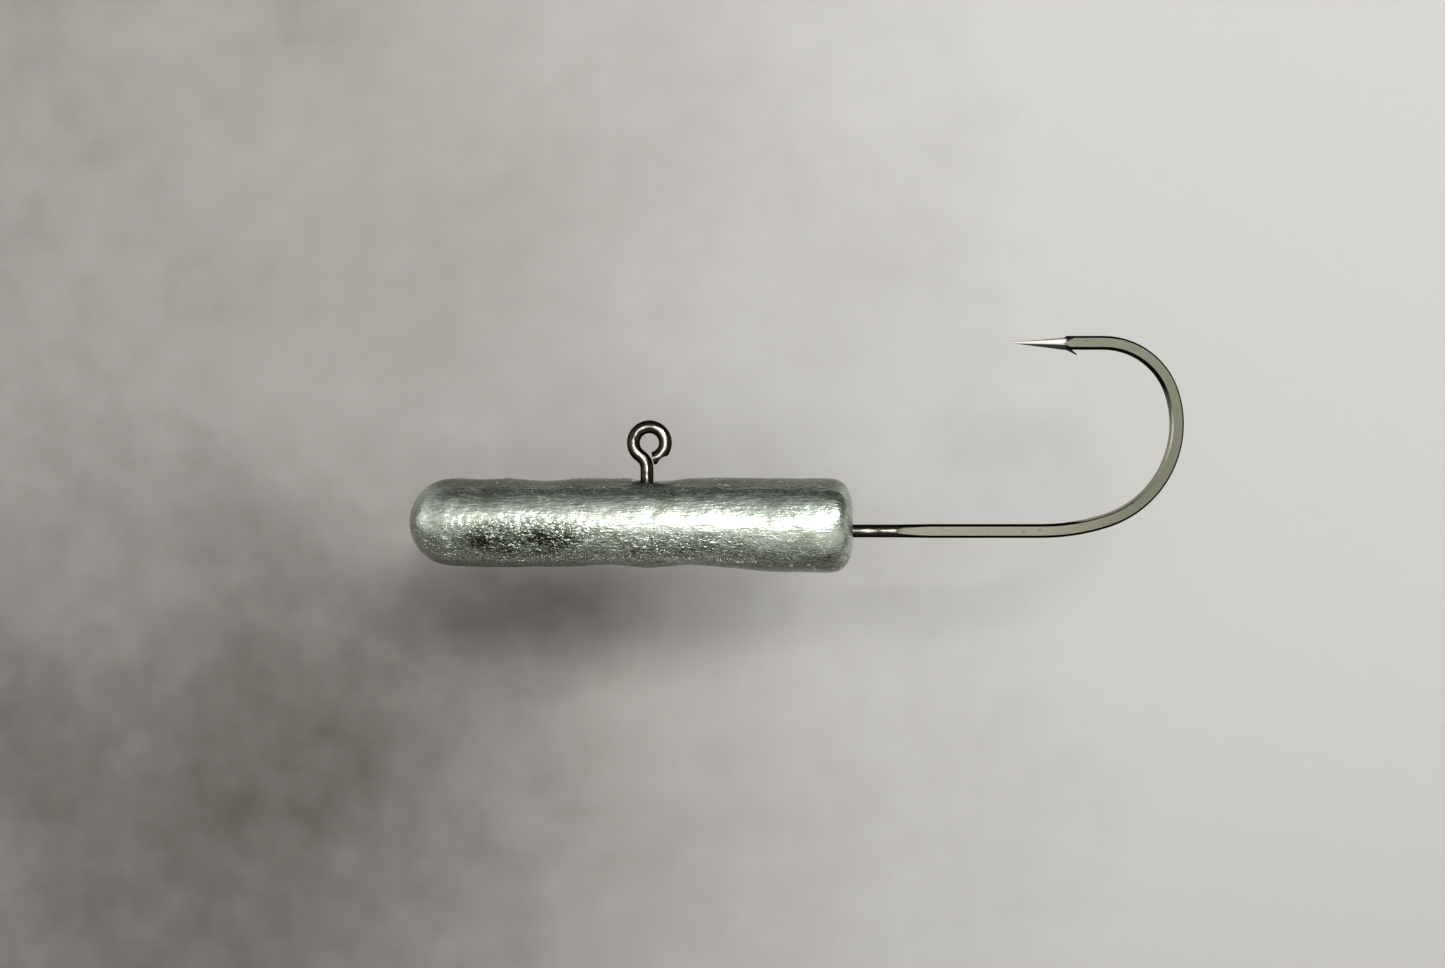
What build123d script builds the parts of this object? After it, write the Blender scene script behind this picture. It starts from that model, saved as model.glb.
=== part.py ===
from build123d import *
from math import acos, asin, degrees, sqrt
import os

# A cast lead fishing jig head: a long round-nosed lead weight moulded onto a hook with a closed line eye.
# The origin is the centre of the line eye. +X runs from the lead's nose to the bend of the hook, and +Z is
# the side that the eye and the point stand on. The whole hook lies in the plane y = 0.

# The wire of the hook
wire_diameter = 0.90
forging_swell = 0.07  # what forging adds to the wire in the hook's own plane
flat_depth = 0.07  # how far each forged flat lies inside the round wire's side

# The line eye and the neck and leg below it
eye_hole = 1.32
eye_end_gap = 0.06  # between the loop's cut end and the neck
neck_radius = 1.04
leg_offset = -0.17  # the leg stands a little to the nose side of the eye's centre
bite_radius = 0.85  # the cutter's mark on the outside of the cut end
bite_depth = 0.20
bite_angle = -53.0  # counted from +X round the eye

# The shank and the bend
shank_below_middle = 0.38  # of the lead's rear face
hidden_bend_radius = 1.5  # inside the lead, where the leg turns into the shank
bare_shank = 13.2  # from the lead's rear face to the start of the bend
round_shank = 2.9  # how much of the bare shank is still round
flat_run_in = 2.6  # over which the forged flats come in
bend_radii = [14.6, 7.05, 5.0]
bend_turns = [18.0, 90.0, 72.0]

# The point: four facets ground to a needle, which run out into the wire over a short flare
straight_to_tip = 6.4
ground_length = 3.6
ground_step = 0.14  # how far below the wire's top the facets start
ground_overrun = 0.02  # how much wider than the flats the facets start, so that each flat ends in a V
tip_share = 0.085  # the tip's size as a share of the ground stretch's root
tip_rise = 0.09
flare_length = 0.9
flare_share = 2.1

# The barb: a sliver cut up from the inner side of the wire
barb_from_tip = 3.9
barb_reach = 0.66
barb_drop = 0.34
barb_thickness = 0.20
barb_width = 0.44
barb_cut_depth = 0.18
barb_cut_length = 0.24

# The lead
lead_length = 30.6
lead_behind_eye = 14.0  # from the eye's centre to the rear face
lead_top_below_eye = 2.44
nose_diameter = 6.12
middle_diameter = 6.25
rear_diameter = 6.60
flare_start = 9.0  # both counted forward from the rear face
flare_end = 4.6
rear_edge_radius = 1.45

wire_radius = wire_diameter / 2
forged_radius = wire_radius + forging_swell / 2
forged_width = wire_diameter - 2 * flat_depth
ground_height = 2 * forged_radius - ground_step
ground_width = forged_width + ground_overrun
lead_top_z = -lead_top_below_eye
shank_z = lead_top_z - rear_diameter / 2 - shank_below_middle
flats_start_x = lead_behind_eye + round_shank
flats_end_x = flats_start_x + flat_run_in
bend_start_x = lead_behind_eye + bare_shank


def hook_path(pieces):
    """Join lines and arcs drawn in x and y, and stand them up in the hook's plane with y as z."""
    return Plane.XZ * Wire(pieces)


def swept_wire(path, radius):
    """Sweep a round wire along a path."""
    section = Plane(origin=path @ 0, z_dir=path % 0) * Circle(radius)
    return sweep(section, path)


def square_plane(x, z):
    """A plane square to the shank, with its own x across the hook and its own y up."""
    return Plane(origin=(x, 0, z), x_dir=(0, 1, 0), z_dir=(1, 0, 0))


def eye_leg_and_shank():
    """The loop, the neck below it, the leg and the hidden bend in the lead, and the round shank."""
    loop_radius = eye_hole / 2 + wire_radius
    centres = loop_radius + neck_radius
    neck_x = leg_offset - neck_radius
    neck_z = -sqrt(centres**2 - neck_x**2)
    neck_turn = degrees(acos(-neck_x / centres))
    open_angle = degrees(asin((neck_radius + wire_radius + eye_end_gap) / centres))
    end_angle = neck_turn + open_angle - 180
    loop = CenterArc((0, 0), loop_radius, end_angle, 360 - open_angle)
    neck = JernArc(loop @ 1, loop % 1, neck_radius, -neck_turn)
    leg = Line((leg_offset, neck_z), (leg_offset, shank_z + hidden_bend_radius))
    hidden_bend = JernArc(leg @ 1, leg % 1, hidden_bend_radius, 90)
    shank = Line(hidden_bend @ 1, (flats_start_x, shank_z))
    return swept_wire(hook_path([loop, neck, leg, hidden_bend, shank]), wire_radius)


def cutter_bite():
    """The round hollow that the cutter leaves on the outside of the loop's end."""
    bite_from_eye = eye_hole / 2 + wire_diameter - bite_depth + bite_radius
    mark = Plane.XZ * Rot(Z=bite_angle) * Pos(X=bite_from_eye) * Circle(bite_radius)
    return extrude(mark, wire_diameter, both=True)


def forged_lines():
    """The forged end of the shank, the bend's tangent arcs and the straight stretch to the tip."""
    pieces = [Line((flats_end_x, shank_z), (bend_start_x, shank_z))]
    for radius, turn in zip(bend_radii, bend_turns):
        pieces.append(JernArc(pieces[-1] @ 1, pieces[-1] % 1, radius, turn))
    bend_end = pieces[-1] @ 1
    pieces.append(Line(bend_end, (bend_end.X - straight_to_tip, bend_end.Y)))
    return pieces


def forging_die():
    """What one forging die keeps clear of metal: a flat whose front edge is rounded to a large radius."""
    edge_radius = (flat_run_in**2 + flat_depth**2) / (2 * flat_depth)
    reach = 4 * max(bend_radii)
    flat = Pos(flats_end_x, forged_width / 2) * Rectangle(reach, wire_diameter, align=(Align.MIN, Align.MIN))
    edge = Pos(flats_end_x, forged_width / 2 + edge_radius) * Circle(edge_radius)
    return extrude(flat + edge, reach, both=True)


def waste_round_point(tip_x, tip_z):
    """What grinding takes away: everything round the tip outside a four-sided needle."""
    root_z = tip_z - (forged_radius - ground_height / 2)
    stations = [(0, tip_share, tip_rise), (ground_length, 1, 0), (ground_length + flare_length, flare_share, 0)]
    sections = []
    for from_tip, share, rise in stations:
        half_width = share * ground_width / 2
        half_height = share * ground_height / 2
        corners = [(half_width, 0), (0, half_height), (-half_width, 0), (0, -half_height)]
        section = square_plane(tip_x + from_tip, root_z + rise) * Polygon(*corners, align=None)
        sections.append(section)
    needle = loft(sections, ruled=True)
    block_length = ground_length + flare_length
    block = extrude(square_plane(tip_x, tip_z) * Rectangle(6 * forged_radius, 6 * forged_radius), block_length)
    return block - needle


def barb(root_x, underside_z):
    """The sliver that stands out of the inner side of the wire, pointing back towards the bend."""
    root = Vector(root_x, 0, underside_z + barb_thickness / 2)
    tip = Vector(root_x + barb_reach, 0, underside_z - barb_drop)
    direction = (tip - root).normalized()
    sections = []
    for place, width, thickness in [
        (root, barb_width, barb_thickness),
        (tip, barb_width / 3, barb_thickness / 5),
    ]:
        plane = Plane(origin=place, x_dir=(0, 1, 0), z_dir=direction)
        sections.append(plane * Rectangle(width, thickness))
    return loft(sections, ruled=True)


def barb_cut(root_x, underside_z):
    """The wedge-shaped cut in the wire that the barb was raised from."""
    corners = [
        (root_x, underside_z + barb_cut_depth),
        (root_x, underside_z - barb_cut_depth),
        (root_x + barb_cut_length, underside_z - barb_cut_depth),
    ]
    return extrude(Plane.XZ * Polygon(*corners, align=None), wire_diameter, both=True)


def jig_hook():
    """One length of wire: cut eye, leg, shank, forged bend, barb and point."""
    round_wire = eye_leg_and_shank() - cutter_bite()
    swelling = Cone(wire_radius, forged_radius, flat_run_in, align=(Align.CENTER, Align.CENTER, Align.MIN))
    run_in = square_plane(flats_start_x, shank_z) * swelling
    lines = forged_lines()
    tip = lines[-1] @ 1
    tip_x, tip_z = tip.X, tip.Y
    forged = swept_wire(hook_path(lines), forged_radius)
    die = forging_die()
    forged = run_in + forged - die - mirror(die, about=Plane.XZ)
    root_x = tip_x + barb_from_tip
    underside_z = tip_z - forged_radius
    forged = forged - waste_round_point(tip_x, tip_z) - barb_cut(root_x, underside_z)
    return round_wire + forged + barb(root_x, underside_z)


def lead_head(hook):
    """The lead: a half-ball nose and a slightly flaring body with a straight top, moulded round the wire."""
    nose_x = lead_behind_eye - lead_length + nose_diameter / 2
    stations = [
        (nose_x, nose_diameter),
        (lead_behind_eye - flare_start, middle_diameter),
        (lead_behind_eye - flare_end, rear_diameter),
        (lead_behind_eye, rear_diameter),
    ]
    sections = [square_plane(x, lead_top_z - size / 2) * Circle(size / 2) for x, size in stations]
    body = loft(sections, ruled=True)
    rear_edge = body.faces().sort_by(Axis.X)[-1].edges()
    body = fillet(rear_edge, rear_edge_radius)
    nose = Pos(nose_x, 0, lead_top_z - nose_diameter / 2) * Sphere(nose_diameter / 2)
    return body + nose - hook


hook = jig_hook()
pieces = {"jig_hook": hook, "lead_head": lead_head(hook)}
os.makedirs("parts", exist_ok=True)
for name, piece in pieces.items():
    export_step(piece, "parts/" + name + ".step")
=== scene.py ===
import math
import random

import bpy
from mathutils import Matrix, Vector


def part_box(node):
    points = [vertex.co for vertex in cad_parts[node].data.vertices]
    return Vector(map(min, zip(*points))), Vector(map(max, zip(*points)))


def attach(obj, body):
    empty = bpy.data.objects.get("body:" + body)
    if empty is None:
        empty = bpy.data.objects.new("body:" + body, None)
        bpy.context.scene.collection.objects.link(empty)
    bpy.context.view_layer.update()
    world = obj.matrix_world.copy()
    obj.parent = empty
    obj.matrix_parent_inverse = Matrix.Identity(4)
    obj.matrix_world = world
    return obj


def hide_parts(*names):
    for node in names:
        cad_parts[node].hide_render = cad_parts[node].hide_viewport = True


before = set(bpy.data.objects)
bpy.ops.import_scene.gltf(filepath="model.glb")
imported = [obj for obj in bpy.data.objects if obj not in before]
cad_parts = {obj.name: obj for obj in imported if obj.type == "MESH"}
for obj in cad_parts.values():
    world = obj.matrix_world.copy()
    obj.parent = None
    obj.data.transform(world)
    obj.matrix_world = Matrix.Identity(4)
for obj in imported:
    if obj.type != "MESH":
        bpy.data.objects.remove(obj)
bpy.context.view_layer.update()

# ---------------------------------------------------------------- camera, surface and light
# The jig hangs from its eye in front of a pale surface that carries painted shade and painted shadows, seen
# square on from the side, with the soft light of a room coming mostly from the front and a little from above
# and the right.
MM = 0.001  # one millimetre in the frame's metres

view_centre_x = 5.07 * MM
view_centre_z = -2.86 * MM
camera_distance = 110 * MM
camera_data = bpy.data.cameras.new("camera")
camera_data.sensor_width = 36
camera_data.lens = 39.5
camera_data.clip_start = 1 * MM
camera_data.clip_end = 5.0
camera = bpy.data.objects.new("camera", camera_data)
bpy.context.scene.collection.objects.link(camera)
camera.location = (view_centre_x, -camera_distance, view_centre_z)
camera.rotation_euler = (math.radians(90), 0, 0)
bpy.context.scene.camera = camera

# a sheet that lies flat in front, curves up in a cove and stands close behind the jig
surface_y = 12 * MM
surface_half_width = 400 * MM
surface_height = 108 * MM
floor_z = -60 * MM
floor_depth = 500 * MM
cove_radius = 9 * MM
cove_steps = 12

bpy.ops.object.select_all(action="DESELECT")
bpy.ops.mesh.primitive_plane_add(size=1, location=(0, 0, 0))
surface = bpy.context.object
surface.name = "surface"
bpy.ops.object.mode_set(mode="EDIT")
bpy.ops.mesh.select_all(action="SELECT")
bpy.ops.transform.resize(value=(2 * surface_half_width, floor_depth, 1), center_override=(0, 0, 0))
bpy.ops.transform.translate(value=(0, surface_y - floor_depth / 2, floor_z))
bpy.ops.mesh.select_all(action="DESELECT")
bpy.ops.object.mode_set(mode="OBJECT")
for edge in surface.data.edges:
    edge.select = all(surface.data.vertices[i].co.y > surface_y - MM for i in edge.vertices)
bpy.ops.object.mode_set(mode="EDIT")
bpy.ops.mesh.select_mode(type="EDGE")
bpy.ops.mesh.extrude_region_move(TRANSFORM_OT_translate={"value": (0, 0, surface_height)})
bpy.ops.object.mode_set(mode="OBJECT")
cove = surface.modifiers.new("cove", "BEVEL")
cove.width = cove_radius
cove.segments = cove_steps
bpy.ops.object.modifier_apply(modifier="cove")
bpy.ops.object.shade_smooth()


def feed(tree, socket, value):
    """Give a socket either a link from another node or a plain number or colour."""
    if isinstance(value, bpy.types.NodeSocket):
        tree.links.new(value, socket)
    else:
        socket.default_value = value


def split_axes(tree, source):
    """The X, Y and Z of a place or a direction."""
    axes = tree.nodes.new("ShaderNodeSeparateXYZ")
    tree.links.new(source, axes.inputs["Vector"])
    return axes.outputs


def add_math(tree, operation, *values):
    """Combine values, each a number or another node's output."""
    combined = tree.nodes.new("ShaderNodeMath")
    combined.operation = operation
    for socket, value in zip(combined.inputs, values):
        feed(tree, socket, value)
    return combined.outputs["Value"]


def add_range(tree, source, low, high, to_low=0.0, to_high=1.0):
    """Map a value from one range to another, clamped."""
    mapped = tree.nodes.new("ShaderNodeMapRange")
    for name, value in (("From Min", low), ("From Max", high), ("To Min", to_low), ("To Max", to_high)):
        mapped.inputs[name].default_value = value
    tree.links.new(source, mapped.inputs["Value"])
    return mapped.outputs["Result"]


def add_mix(tree, share, first, second, blend="MIX"):
    """Mix or multiply two colours by a mask; either may be a plain colour."""
    mixed = tree.nodes.new("ShaderNodeMix")
    mixed.data_type = "RGBA"
    mixed.blend_type = blend
    for socket, value in zip((mixed.inputs[0], mixed.inputs[6], mixed.inputs[7]), (share, first, second)):
        feed(tree, socket, value)
    return mixed.outputs[2]


def add_ramp(tree, source, stops, easing="LINEAR"):
    """Turn a value into a colour, from a list of positions and colours."""
    ramp = tree.nodes.new("ShaderNodeValToRGB")
    ramp.color_ramp.interpolation = easing
    while len(ramp.color_ramp.elements) < len(stops):
        ramp.color_ramp.elements.new(0.5)
    for element, (position, colour) in zip(ramp.color_ramp.elements, stops):
        element.position = position
        element.color = colour
    tree.links.new(source, ramp.inputs["Fac"])
    return ramp.outputs["Color"]


def add_noise(tree, source, scale, detail, roughness=0.5, distortion=0.0):
    """A noise pattern over Object coordinates; the scale is per millimetre along X, Y and Z."""
    stretch = tree.nodes.new("ShaderNodeMapping")
    stretch.inputs["Scale"].default_value = tuple(value / MM for value in scale)
    tree.links.new(source, stretch.inputs["Vector"])
    pattern = tree.nodes.new("ShaderNodeTexNoise")
    pattern.inputs["Scale"].default_value = 1.0
    pattern.inputs["Detail"].default_value = detail
    pattern.inputs["Roughness"].default_value = roughness
    pattern.inputs["Distortion"].default_value = distortion
    tree.links.new(stretch.outputs["Vector"], pattern.inputs["Vector"])
    return pattern.outputs["Fac"]


def add_gradient(tree, source, kind, place, size, turn=0):
    """A gradient fitted to a place and size in millimetres, turned about Y by an angle in degrees."""
    fit = tree.nodes.new("ShaderNodeMapping")
    fit.vector_type = "TEXTURE"
    fit.inputs["Location"].default_value = tuple(value * MM for value in place)
    fit.inputs["Rotation"].default_value = (0, math.radians(turn), 0)
    fit.inputs["Scale"].default_value = tuple(value * MM for value in size)
    tree.links.new(source, fit.inputs["Vector"])
    gradient = tree.nodes.new("ShaderNodeTexGradient")
    gradient.gradient_type = kind
    tree.links.new(fit.outputs["Vector"], gradient.inputs["Vector"])
    return gradient.outputs["Fac"]


def start_material(name):
    """A new material: itself, its node tree, its shader and its Object coordinates."""
    material = bpy.data.materials.new(name)
    material.use_nodes = True
    tree = material.node_tree
    coordinates = tree.nodes.new("ShaderNodeTexCoord")
    return material, tree, tree.nodes["Principled BSDF"], coordinates.outputs["Object"]


# matt paint with painted light: it fades from painted shade on the left to painted light on the right, with
# two painted shadows low down (a broad one in the lower left and one just under the lead), and a faint mottle
black = (0, 0, 0, 1)
white = (1, 1, 1, 1)
wall_paint_in_painted_shade = (0.086, 0.077, 0.069, 1)
wall_paint_half_lit = (0.264, 0.252, 0.241, 1)
wall_paint_in_painted_light = (0.430, 0.424, 0.415, 1)
pale_floor_paint = (0.80, 0.79, 0.76, 1)
# painted shade for the floor just under the jig
floor_painted_shade = (0.15, 0.145, 0.135, 1)
painted_light_fade_start = (-34, 0, -14)
painted_light_fade_size = (84, 1000, 1000)
painted_light_fade_turn = -7
painted_shadows = [
    ((-31, surface_y / MM, -27), (50, 50, 30), -0.64),
    ((-7, surface_y / MM, -12), (15, 50, 8), -0.56),
]
mottles = [
    (0.06, 0.26),
    (0.33, 0.13),
]

surface_with_painted_light, tree, shader, here = start_material("pale surface")
shader.inputs["Roughness"].default_value = 0.9
shader.inputs["Specular IOR Level"].default_value = 0.1
# painted light: a fade from painted shade on the left to painted light on the right
painted_light_and_mottle = add_gradient(tree, here, "EASING", painted_light_fade_start, painted_light_fade_size, painted_light_fade_turn)
# painted shadows: a broad one low on the left and one just under the lead
for patch_place, patch_size, patch_share in painted_shadows:
    patch = add_gradient(tree, here, "SPHERICAL", patch_place, patch_size)
    painted_light_and_mottle = add_math(tree, "MULTIPLY_ADD", patch, patch_share, painted_light_and_mottle)
for mottle_scale, mottle_share in mottles:
    mottle = add_noise(tree, here, (mottle_scale, mottle_scale, mottle_scale), 2)
    uneven = add_range(tree, mottle, 0, 1, -mottle_share, mottle_share)
    painted_light_and_mottle = add_math(tree, "ADD", painted_light_and_mottle, uneven)
painted_light_and_mottle = add_range(tree, painted_light_and_mottle, -0.6, 1)
wall_colour = add_ramp(tree, painted_light_and_mottle, [(0.0, wall_paint_in_painted_shade), (0.375, wall_paint_half_lit), (0.92, wall_paint_in_painted_light)])

# the floor has a painted shade strip just under the jig and is pale further forward, which the underside of
# the lead mirrors
forward = add_range(tree, split_axes(tree, here)["Y"], surface_y, -50 * MM)
pale_share = add_range(tree, forward, 0.45, 1)
floor_shade_share = add_ramp(tree, forward, [(0.03, black), (0.12, white), (0.36, white), (0.65, black)], "EASE")
floor_colour = add_mix(tree, pale_share, wall_colour, pale_floor_paint)
floor_colour = add_mix(tree, floor_shade_share, floor_colour, floor_painted_shade)
tree.links.new(floor_colour, shader.inputs["Base Color"])

# the sheet is clear from behind, so that the jig can be seen from all round
geometry = tree.nodes.new("ShaderNodeNewGeometry")
clear = tree.nodes.new("ShaderNodeBsdfTransparent")
one_sided = tree.nodes.new("ShaderNodeMixShader")
tree.links.new(geometry.outputs["Backfacing"], one_sided.inputs["Fac"])
tree.links.new(shader.outputs["BSDF"], one_sided.inputs[1])
tree.links.new(clear.outputs["BSDF"], one_sided.inputs[2])
tree.links.new(one_sided.outputs["Shader"], tree.nodes["Material Output"].inputs["Surface"])
surface.data.materials.append(surface_with_painted_light)

# the room: how bright it is from straight down to straight up, and from the left to the right
room_by_height = [
    (0.00, 0.06),
    (0.02, 0.10),
    (0.06, 0.40),
    (0.12, 0.75),
    (0.22, 1.00),
    (0.34, 1.30),
    (0.42, 1.60),
    (0.49, 1.90),
    (0.55, 2.05),
    (0.62, 1.80),
    (0.72, 1.20),
    (0.82, 0.85),
    (0.90, 0.60),
    (0.96, 0.30),
    (1.00, 0.09),
]
room_by_side = [
    (0.00, 0.85),
    (0.10, 0.70),
    (0.30, 0.62),
    (0.42, 0.88),
    (0.50, 1.00),
    (0.60, 0.90),
    (0.72, 0.22),
    (0.90, 0.12),
    (1.00, 0.40),
]
room_blue = 0.985  # how blue the room's light is, beside its red and green
room_strength = 0.92
plain_backdrop = (0.62, 0.615, 0.60, 1)

world = bpy.data.worlds.new("room")
bpy.context.scene.world = world
world.use_nodes = True
tree = world.node_tree
direction = tree.nodes.new("ShaderNodeTexCoord")
axes = split_axes(tree, direction.outputs["Generated"])
glows = []
for axis, bands in (("Z", room_by_height), ("X", room_by_side)):
    stops = [(position, (value, value, value * room_blue, 1)) for position, value in bands]
    glows.append(add_ramp(tree, add_range(tree, axes[axis], -1, 1), stops, "EASE"))
room = add_mix(tree, 1.0, glows[0], glows[1], "MULTIPLY")
light_path = tree.nodes.new("ShaderNodeLightPath")
seen = add_mix(tree, light_path.outputs["Is Camera Ray"], room, plain_backdrop)
tree.links.new(seen, tree.nodes["Background"].inputs["Color"])
tree.nodes["Background"].inputs["Strength"].default_value = room_strength


def add_soft_light(name, place, width, depth, power, colour, casts_shadow):
    """Hang a rectangular soft light at a place, in metres, and turn it to the jig."""
    data = bpy.data.lights.new(name, "AREA")
    data.shape = "RECTANGLE"
    data.size = width
    data.size_y = depth
    data.energy = power
    data.color = colour
    data.use_shadow = casts_shadow
    light = bpy.data.objects.new(name, data)
    bpy.context.scene.collection.objects.link(light)
    light.location = place
    target = Vector((0, 0, -5 * MM))
    light.rotation_euler = (target - Vector(place)).to_track_quat("-Z", "Y").to_euler()


# the key hangs in front, 26 degrees up and 25 degrees to the right, with a brighter middle, and a small
# lamp hangs behind the camera
warm_white = (1, 0.99, 0.97)
lamp_white = (1, 0.99, 0.96)
add_soft_light("key", (0.190, -0.41, 0.218), 0.22, 0.12, 1.2, warm_white, True)
add_soft_light("key core", (0.188, -0.406, 0.216), 0.06, 0.03, 0.5, warm_white, False)
add_soft_light("front lamp", (0.022, -0.35, 0.032), 0.07, 0.05, 0.25, lamp_white, False)

bpy.context.scene.view_settings.view_transform = "Standard"

# ---------------------------------------------------------------- the lead
# One casting of bare lead, poured round the hook in a two-part mould: a half-ball nose, a long body with
# a straight top that swells slightly to the rear, and a rounded rear edge round a nearly flat face.
lead_low, lead_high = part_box("lead_head")
nose_radius = 3.06 * MM
middle_radius = 3.125 * MM
rear_radius = (lead_high.y - lead_low.y) / 2
rear_edge = 1.45 * MM
swell_start = 9.4 * MM
swell_reach = 5.0 * MM
top_z = lead_high.z
nose_centre = Vector((lead_low.x + nose_radius, 0, top_z - nose_radius))
middle_level = top_z - middle_radius
body_end = lead_high.x - rear_edge
columns = 52
nose_rings = 26
body_rows = 54
edge_rows = 5
face_rows = 5
hair = 0.01 * MM  # less than the gap between any two rings of vertices


def select_where(piece, wanted):
    """Select the vertices of a piece that a test on their places picks, and leave edit mode on."""
    bpy.ops.object.mode_set(mode="EDIT")
    bpy.ops.mesh.select_mode(type="VERT")
    bpy.ops.mesh.select_all(action="DESELECT")
    bpy.ops.object.mode_set(mode="OBJECT")
    for vertex in piece.data.vertices:
        vertex.select = wanted(vertex.co)
    bpy.ops.object.mode_set(mode="EDIT")


def draw_on(distance, old_radius, new_radius, level):
    """Extrude the selected rim backwards and resize it about a point at one level."""
    bpy.ops.mesh.extrude_region_move(TRANSFORM_OT_translate={"value": (distance, 0, 0)})
    share = new_radius / old_radius
    bpy.ops.transform.resize(value=(1, share, share), center_override=(0, 0, level))


# the half-ball nose, cut from a ball with its poles along X
bpy.ops.object.select_all(action="DESELECT")
bpy.ops.mesh.primitive_uv_sphere_add(segments=columns, ring_count=nose_rings, radius=nose_radius)
lead = bpy.context.object
lead.name = "lead"
lead.rotation_euler = (0, math.radians(-90), 0)
lead.location = nose_centre
bpy.ops.object.transform_apply(location=True, rotation=True, scale=True)
select_where(lead, lambda place: place.x > nose_centre.x + hair)
bpy.ops.mesh.delete(type="VERT")
select_where(lead, lambda place: place.x > nose_centre.x - hair)

# the body, drawn back from the half ball in even steps
radius = nose_radius
for row in range(1, body_rows + 1):
    new_radius = nose_radius + (middle_radius - nose_radius) * row / body_rows
    draw_on((body_end - nose_centre.x) / body_rows, radius, new_radius, top_z)
    radius = new_radius

# the rounded rear edge and the nearly flat face inside it
before = 0
for row in range(1, edge_rows + 1):
    angle = math.radians(90) * row / edge_rows
    new_radius = middle_radius - rear_edge * (1 - math.cos(angle))
    draw_on(rear_edge * (math.sin(angle) - math.sin(before)), radius, new_radius, middle_level)
    radius = new_radius
    before = angle
for row in range(1, face_rows):
    new_radius = (middle_radius - rear_edge) * (1 - row / face_rows)
    draw_on(0, radius, new_radius, middle_level)
    radius = new_radius
bpy.ops.mesh.edge_face_add()
bpy.ops.object.mode_set(mode="OBJECT")

# the rear swells downwards and sideways over a few millimetres
select_where(lead, lambda place: place.x > swell_start)
swell = rear_radius / middle_radius
bpy.ops.transform.resize(
    value=(1, swell, swell),
    center_override=(0, 0, top_z),
    use_proportional_edit=True,
    proportional_edit_falloff="SMOOTH",
    proportional_size=swell_reach,
)
bpy.ops.object.mode_set(mode="OBJECT")


def push(piece, x, angle, reach, depth, falloff="SMOOTH"):
    """Sink a soft dent, or raise a bulge with a negative depth, at a place round the lead.

    The angle is 0 on the side towards -Y and 90 on top. All lengths are in millimetres."""
    outward = Vector((0, -math.cos(math.radians(angle)), math.sin(math.radians(angle))))
    aim = Vector((x * MM, 0, middle_level)) + outward * middle_radius
    nearest = min(piece.data.vertices, key=lambda vertex: (vertex.co - aim).length)
    spot = nearest.co.copy()
    select_where(piece, lambda place: (place - spot).length < 2 * hair)
    bpy.ops.transform.translate(
        value=outward * -depth * MM,
        use_proportional_edit=True,
        proportional_edit_falloff=falloff,
        proportional_size=reach * MM,
    )
    bpy.ops.object.mode_set(mode="OBJECT")


def scatter_pushes(piece, chance, count, ends, reaches, depths):
    """Push in a number of dents and bulges at chance places all round the lead."""
    for _ in range(count):
        x = chance.uniform(*ends)
        angle = chance.uniform(0, 360)
        reach = chance.uniform(*reaches)
        push(piece, x, angle, reach, chance.uniform(*depths))


def refine(piece):
    """Divide every face of a piece into four, smoothly."""
    bpy.ops.object.select_all(action="DESELECT")
    piece.select_set(True)
    bpy.context.view_layer.objects.active = piece
    finer = piece.modifiers.new("finer", "SUBSURF")
    finer.levels = 1
    finer.render_levels = 1
    bpy.ops.object.modifier_apply(modifier="finer")


# long hollows and swellings from the cooling lead: where along it, angle round it, reach and depth
hollows = [
    (-7.2, 90, 2.6, 0.20),
    (1.0, 90, 2.0, 0.22),
    (-2.8, -90, 2.8, 0.16),
    (2.8, -90, 2.6, 0.18),
    (0.2, -90, 2.0, -0.06),
    (-10.5, -90, 3.5, -0.07),
    (-12.0, -45, 3.0, 0.10),
    (7.0, 20, 3.5, 0.06),
]
for hollow in hollows:
    push(lead, *hollow)
chance = random.Random(7)
scatter_pushes(lead, chance, 36, (-15, 13), (1.5, 3.5), (-0.06, 0.08))

# the crater where the leg comes out, a dent behind it, and knocks and nicks all round
refine(lead)
push(lead, -0.17, 90, 0.9, 0.16, "SPHERE")
push(lead, 1.1, 80, 0.8, 0.08)
scatter_pushes(lead, chance, 70, (-15.5, 13.5), (0.3, 0.8), (-0.02, 0.06))
refine(lead)


def soft_peak(distance, width):
    """A bell-shaped share: 1 at no distance, about a third at one width and almost 0 at two."""
    return math.exp(-((distance / width) ** 2))


def crinkle_share(place):
    """How crinkled the skin is at a place, from 0 to 1."""
    x = place.x / MM
    angle = math.degrees(math.atan2(place.z - middle_level, -place.y))
    near_side = soft_peak(x + 9, 5.5) * soft_peak(angle + 22, 28)
    far_side = 0.8 * soft_peak(x + 2, 8) * soft_peak(abs(angle) - 150, 30)
    return min(1.0, near_side + far_side + 0.10)


def roughen(piece, name, grain, strength, group=None, hard=False):
    """Displace a piece's skin with a cloud pattern of one grain size, in millimetres, and apply it."""
    pattern = bpy.data.textures.new(name, "CLOUDS")
    pattern.noise_scale = grain * MM
    pattern.noise_depth = 2
    pattern.noise_type = "HARD_NOISE" if hard else "SOFT_NOISE"
    skin = piece.modifiers.new(name, "DISPLACE")
    skin.texture = pattern
    skin.texture_coords = "LOCAL"
    skin.strength = strength * MM
    skin.mid_level = 0.5
    if group:
        skin.vertex_group = group
    bpy.ops.object.modifier_apply(modifier=name)


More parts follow.
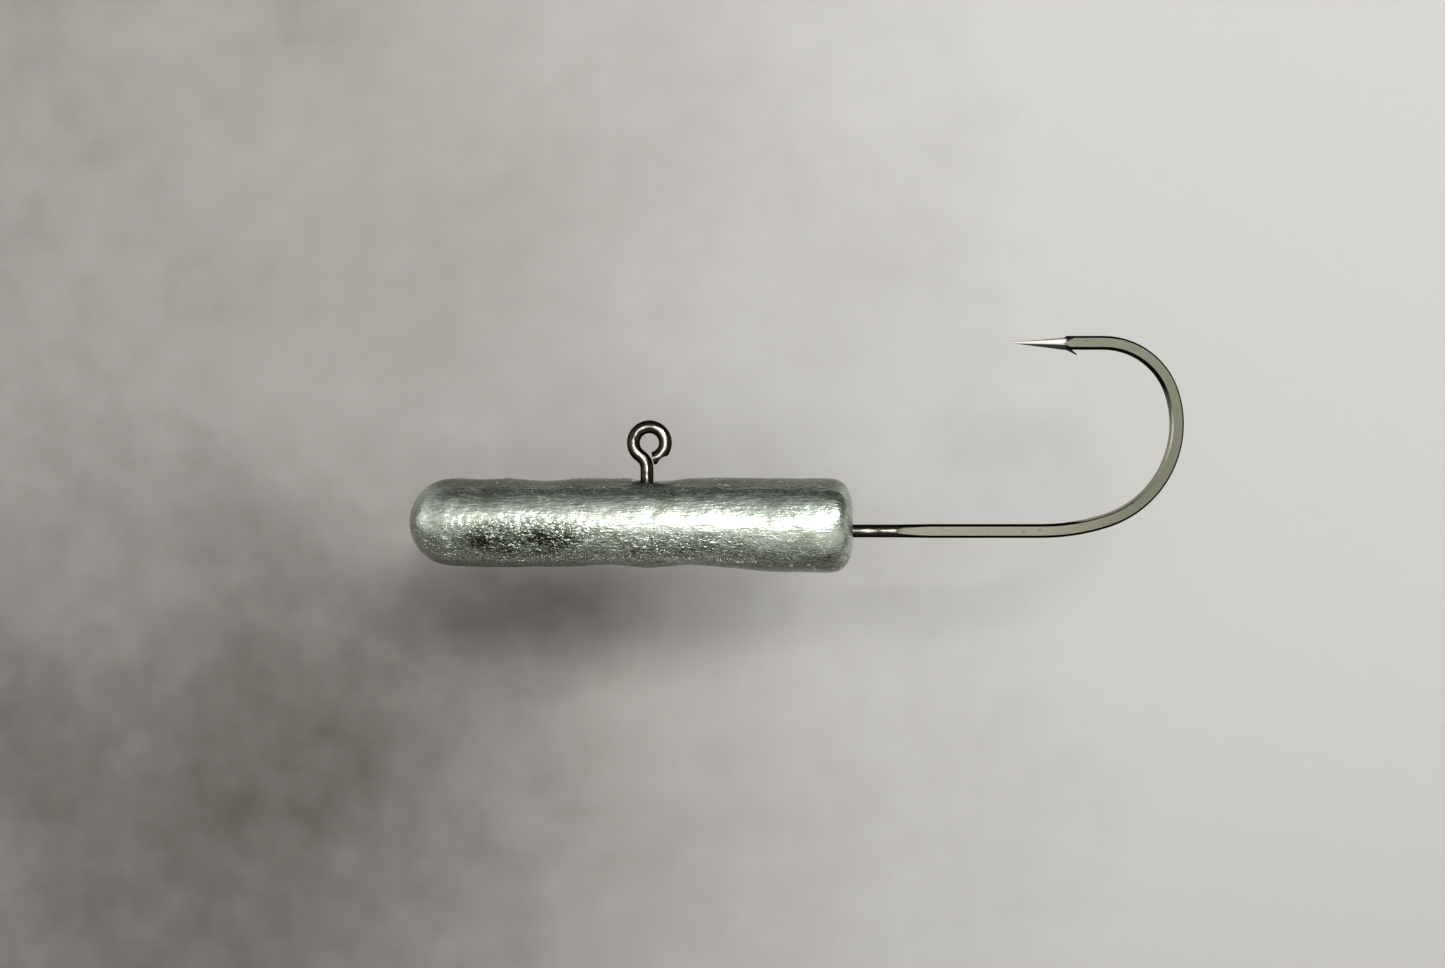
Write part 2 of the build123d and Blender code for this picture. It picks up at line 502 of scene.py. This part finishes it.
# cold laps: the crinkled skin where the poured lead had begun to set, worst low down near the nose,
# and a faint line round the middle where the two halves of the mould met
parting_half_width = 0.10 * MM
crinkled = lead.vertex_groups.new(name="crinkled")
parting = lead.vertex_groups.new(name="parting")
for vertex in lead.data.vertices:
    crinkled.add([vertex.index], crinkle_share(vertex.co), "REPLACE")
    if vertex.co.x < body_end:
        parting.add([vertex.index], soft_peak(vertex.co.y, parting_half_width), "REPLACE")
roughen(lead, "lumps", 1.1, 0.05)
roughen(lead, "crinkle", 0.50, 0.20, "crinkled", hard=True)
roughen(lead, "parting line", 0.9, 0.07, "parting")
bpy.ops.object.shade_smooth()
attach(lead, "root")
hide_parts("lead_head")

# the finish: bare bright lead, dulled to a greenish grey by tarnish, almost black in pits and creases, darker
# along the top and bottom, with a painted dark reflection line on the near side, and bright again where it is
# scuffed
bright_lead = (0.540, 0.602, 0.545, 1)
tarnished_lead = (0.300, 0.336, 0.270, 1)
scuffed_lead = (0.80, 0.83, 0.80, 1)
smoke_tint = (0.60, 0.62, 0.56, 1)
# darker along the top and bottom
top_bottom_darkening = (0.37, 0.355, 0.335, 1)
# black for pits and creases, and for the painted dark reflection line
pit_and_dark_reflection_black = (0.03, 0.03, 0.022, 1)
lead_middle_z = -5.6 * MM
darkening_start = 2.35 * MM
darkening_end = 2.85 * MM
darkening_waver = 0.4 * MM
# a painted dark reflection line at a set height from the middle, on the near side
dark_reflection_height = 2.40 * MM
dark_reflection_waver = 0.45 * MM
dark_reflection_width = 0.22 * MM
dark_reflection_core = 0.05 * MM
relief_depth = 0.24 * MM

lead_metal, tree, shader, here = start_material("cast lead")
shader.inputs["Metallic"].default_value = 1.0
lead.data.materials.append(lead_metal)
axes = split_axes(tree, here)

squiggle = add_noise(tree, here, (1.9, 3.6, 3.6), 1.5, distortion=1.6)
grain = add_noise(tree, here, (5, 8, 8), 1.5)
scratches = add_noise(tree, here, (1.0, 7, 7), 1.5)
tarnish = add_noise(tree, here, (0.6, 0.9, 0.9), 4, roughness=0.65)
specks = add_noise(tree, here, (1.6, 2.6, 2.6), 2.5, roughness=0.75)
folds = add_noise(tree, here, (1.3, 2.3, 2.3), 1.5, distortion=2.2)


def add_patch(place, size):
    """A soft patch on the lead: 1 at its middle and 0 at its edge, in millimetres."""
    return add_gradient(tree, here, "QUADRATIC_SPHERE", place, size)


# where the laps and the two burnt patches lie
front_lap = add_patch((-8.5, -2.9, -6.9), (9.5, 3.0, 2.15))
back_lap = add_patch((-2.0, 2.6, -7.0), (12.0, 3.0, 2.4))
lower_lap = add_math(tree, "MULTIPLY", add_patch((1.5, -2.4, -7.3), (14.0, 3.0, 1.8)), 0.6)
laps = add_math(tree, "MAXIMUM", add_math(tree, "MAXIMUM", front_lap, back_lap), lower_lap)
laps = add_range(tree, laps, 0.0, 0.45)
nose_burn = add_patch((-11.6, -2.9, -6.5), (2.2, 1.8, 1.0))
side_burn = add_patch((-6.5, -2.9, -6.6), (3.2, 1.8, 1.0))
burns = add_range(tree, add_math(tree, "MAXIMUM", nose_burn, side_burn), 0.0, 0.4)

# pits: everywhere in the laps, and joined into black patches where dross is trapped
pit_level = add_math(tree, "ADD", squiggle, add_range(tree, burns, 0, 1, 0.0, -0.16))
pits = add_math(tree, "MULTIPLY", add_range(tree, pit_level, 0.42, 0.34), laps)

# creases: thin crooked lines where one fold of the cooling skin ran over another
off_crease = add_math(tree, "ABSOLUTE", add_math(tree, "SUBTRACT", folds, 0.5))
creases = add_math(tree, "MULTIPLY", add_range(tree, off_crease, 0.042, 0.014), laps)

# darker along the top and bottom, with a crooked painted dark reflection line at its edge on the near side
off_middle = add_math(tree, "ABSOLUTE", add_math(tree, "SUBTRACT", axes["Z"], lead_middle_z))
wavy_off_middle = add_math(tree, "ADD", off_middle, add_range(tree, tarnish, 0, 1, -darkening_waver, darkening_waver))
crooked = add_range(tree, folds, 0.3, 0.7, -dark_reflection_waver, dark_reflection_waver)
off_edge = add_math(tree, "SUBTRACT", add_math(tree, "ADD", wavy_off_middle, crooked), dark_reflection_height)
dark_reflection_line = add_range(tree, add_math(tree, "ABSOLUTE", off_edge), dark_reflection_width, dark_reflection_core)
broken = add_range(tree, specks, 0.42, 0.54, 0.1, 0.8)
low_down = add_range(tree, axes["Z"], -5.4 * MM, -6.4 * MM, 0.35, 1.0)
near_side = add_range(tree, axes["Y"], 0.4 * MM, -0.8 * MM)
for share in (broken, low_down, near_side):
    dark_reflection_line = add_math(tree, "MULTIPLY", dark_reflection_line, share)

colour = add_ramp(tree, tarnish, [(0.32, tarnished_lead), (0.66, bright_lead)])
colour = add_mix(tree, add_range(tree, front_lap, 0.05, 0.5), colour, smoke_tint, "MULTIPLY")
colour = add_mix(tree, add_range(tree, wavy_off_middle, darkening_start, darkening_end), colour, top_bottom_darkening, "MULTIPLY")
black_share = add_math(tree, "MAXIMUM", pits, dark_reflection_line)
black_share = add_math(tree, "MAXIMUM", black_share, add_math(tree, "MULTIPLY", creases, 0.9))
colour = add_mix(tree, black_share, colour, pit_and_dark_reflection_black)
colour = add_mix(tree, add_range(tree, specks, 0.63, 0.69), colour, scuffed_lead)
tree.links.new(colour, shader.inputs["Base Color"])
tree.links.new(add_range(tree, grain, 0.35, 0.65, 0.18, 0.30), shader.inputs["Roughness"])


def add_relief(tree, shader, layers, strength, depth):
    """Add up layers of pattern, each times its share, and raise them on the shader's surface."""
    raised = [add_math(tree, "MULTIPLY", pattern, share) for pattern, share in layers]
    total = raised[0]
    for layer in raised[1:]:
        total = add_math(tree, "ADD", total, layer)
    bump = tree.nodes.new("ShaderNodeBump")
    bump.inputs["Strength"].default_value = strength
    bump.inputs["Distance"].default_value = depth
    tree.links.new(total, bump.inputs["Height"])
    tree.links.new(bump.outputs["Normal"], shader.inputs["Normal"])


lead_relief = [
    (squiggle, add_range(tree, laps, 0, 1, 0.06, 0.72)),
    (grain, add_range(tree, laps, 0, 1, 0.04, 0.06)),
    (scratches, 0.10),
    (creases, -0.5),
]
add_relief(tree, shader, lead_relief, 1.0, relief_depth)

# ---------------------------------------------------------------- the hook
# One piece of tempered wire plated with black nickel: a turned eye, a round shank that the lead is cast
# on, a bend forged flat on both sides, and a ground needle point with a cut barb.
wire_plating = (0.034, 0.032, 0.025, 1)
# a painted highlight along the crown of the round wire
crown_painted_highlight = (0.36, 0.35, 0.29, 1)
# the round sides of the forged stretch: black nickel plating made darker still as painted shade
forged_side_plating_and_painted_shade = (0.014, 0.014, 0.011, 1)
# a painted highlight along the edges of the flats
forged_edge_painted_highlight = (0.055, 0.055, 0.043, 1)
shank_flat = (0.145, 0.142, 0.110, 1)
bend_flat = (0.092, 0.093, 0.071, 1)
# a painted highlight on the inner side of the bend
inner_bend_painted_highlight = (0.42, 0.42, 0.35, 1)
# the ground point below its ridge, painted in shade
ground_facet_painted_shade = (0.10, 0.10, 0.085, 1)
# the ground facet above the ridge, painted as a highlight
ground_facet_painted_highlight = (0.90, 0.89, 0.85, 1)
ground_edge = (0.16, 0.16, 0.12, 1)
stain_black = (0.03, 0.03, 0.024, 1)
grazing_tint = (0.2, 0.2, 0.18, 1)
bend_centre = (29.53 * MM, 0, 1.30 * MM)
ridge_slope = 0.032
top_edge_slope = -0.054
drawing_mark_depth = 0.012 * MM

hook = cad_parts["jig_hook"]
plating, tree, shader, here = start_material("black nickel plating")
shader.inputs["Metallic"].default_value = 1.0
shader.inputs["Specular Tint"].default_value = grazing_tint
hook.data.materials.clear()
hook.data.materials.append(plating)
axes = split_axes(tree, here)
along = axes["X"]
level = axes["Z"]
aside = add_math(tree, "ABSOLUTE", axes["Y"])

drawn = add_noise(tree, here, (0.8, 14, 14), 3, roughness=0.6)
stain = add_noise(tree, here, (1.6, 2.4, 2.4), 4, roughness=0.7)
fine = add_noise(tree, here, (16, 16, 16), 3, roughness=0.6)
highlight_waver = add_noise(tree, here, (0.9, 0.9, 0.9), 2, roughness=0.6)


def past(source, start, full):
    """A mask on the hook: 0 at one reading in millimetres and 1 at another, either way round."""
    return add_range(tree, source, start * MM, full * MM)


# where the wire is forged: the two flats, the band round them that carries a painted edge highlight, and how
# far up the bend a place is
forged = past(along, 17.0, 17.6)
flats = add_math(tree, "MULTIPLY", past(aside, 0.372, 0.378), forged)
edge_highlight_band = add_math(tree, "MULTIPLY", past(aside, 0.350, 0.370), forged)
up_the_bend = add_math(tree, "MAXIMUM", past(along, 27.0, 34.0), past(level, -4.0, 1.0))

# where it is ground: the point, the facet above its ridge, painted as a highlight while the rest of the point
# is painted in shade, and the thin edge along its top
point = add_math(tree, "MULTIPLY", past(along, 28.95, 28.80), past(level, 6.50, 6.54))
point = add_math(tree, "SUBTRACT", point, flats)
ridge_level = add_math(tree, "MULTIPLY_ADD", along, ridge_slope, level)
above_ridge = past(ridge_level, 7.69, 7.72)
top_edge_level = add_math(tree, "MULTIPLY_ADD", along, top_edge_slope, level)
top_edge = past(top_edge_level, 5.60, 5.63)

# the shoulder between the point and the flats, which is as dull as they are
shoulder_length = add_math(tree, "MULTIPLY", past(along, 29.95, 29.75), past(along, 28.86, 28.94))
shoulder_height = add_math(tree, "MULTIPLY", past(level, 7.29, 7.25), past(level, 6.80, 6.86))
shoulder = add_math(tree, "MULTIPLY", shoulder_length, shoulder_height)
flats = add_math(tree, "MAXIMUM", flats, shoulder)

# painted highlights: the crown of the round wire, where it faces either way along Y, painted bright in an
# uneven line, and the inner side of the bend
uneven_highlight_edge = add_range(tree, highlight_waver, 0.3, 0.7, -0.030 * MM, 0.012 * MM)
highlight_crown = past(add_math(tree, "ADD", aside, uneven_highlight_edge), 0.418, 0.445)
from_centre = tree.nodes.new("ShaderNodeVectorMath")
from_centre.operation = "DISTANCE"
from_centre.inputs[1].default_value = bend_centre
tree.links.new(here, from_centre.inputs[0])
inner_bend_highlight = add_math(tree, "MULTIPLY", past(from_centre.outputs["Value"], 6.82, 6.72), past(level, 4.0, 1.0))

# the round sides of the forged stretch get plating darkened as painted shade
wire_colour = add_mix(tree, forged, add_mix(tree, highlight_crown, wire_plating, crown_painted_highlight), forged_side_plating_and_painted_shade)
flat_colour = add_mix(tree, up_the_bend, shank_flat, bend_flat)
ground_colour = add_mix(tree, above_ridge, ground_facet_painted_shade, ground_facet_painted_highlight)
ground_colour = add_mix(tree, top_edge, ground_colour, ground_edge)
colour = add_mix(tree, edge_highlight_band, wire_colour, forged_edge_painted_highlight)
colour = add_mix(tree, inner_bend_highlight, colour, inner_bend_painted_highlight)
colour = add_mix(tree, flats, colour, flat_colour)
colour = add_mix(tree, point, colour, ground_colour)
colour = add_mix(tree, add_range(tree, stain, 0.58, 0.72, 0, 0.6), colour, stain_black)
tree.links.new(colour, shader.inputs["Base Color"])

# the bright ground facet, a painted highlight, is satin and less metallic, the flats are dull and the round
# wire is glossy
highlight_facet = add_math(tree, "MULTIPLY", point, above_ridge)
tree.links.new(add_range(tree, highlight_facet, 0, 1, 1.0, 0.25), shader.inputs["Metallic"])
dull = add_range(tree, add_math(tree, "MAXIMUM", flats, point), 0, 1, 0.13, 0.38)
dull = add_math(tree, "ADD", dull, add_range(tree, fine, 0.3, 0.7, 0, 0.08))
tree.links.new(dull, shader.inputs["Roughness"])
add_relief(tree, shader, [(drawn, 0.6), (fine, 1.0)], 0.6, drawing_mark_depth)
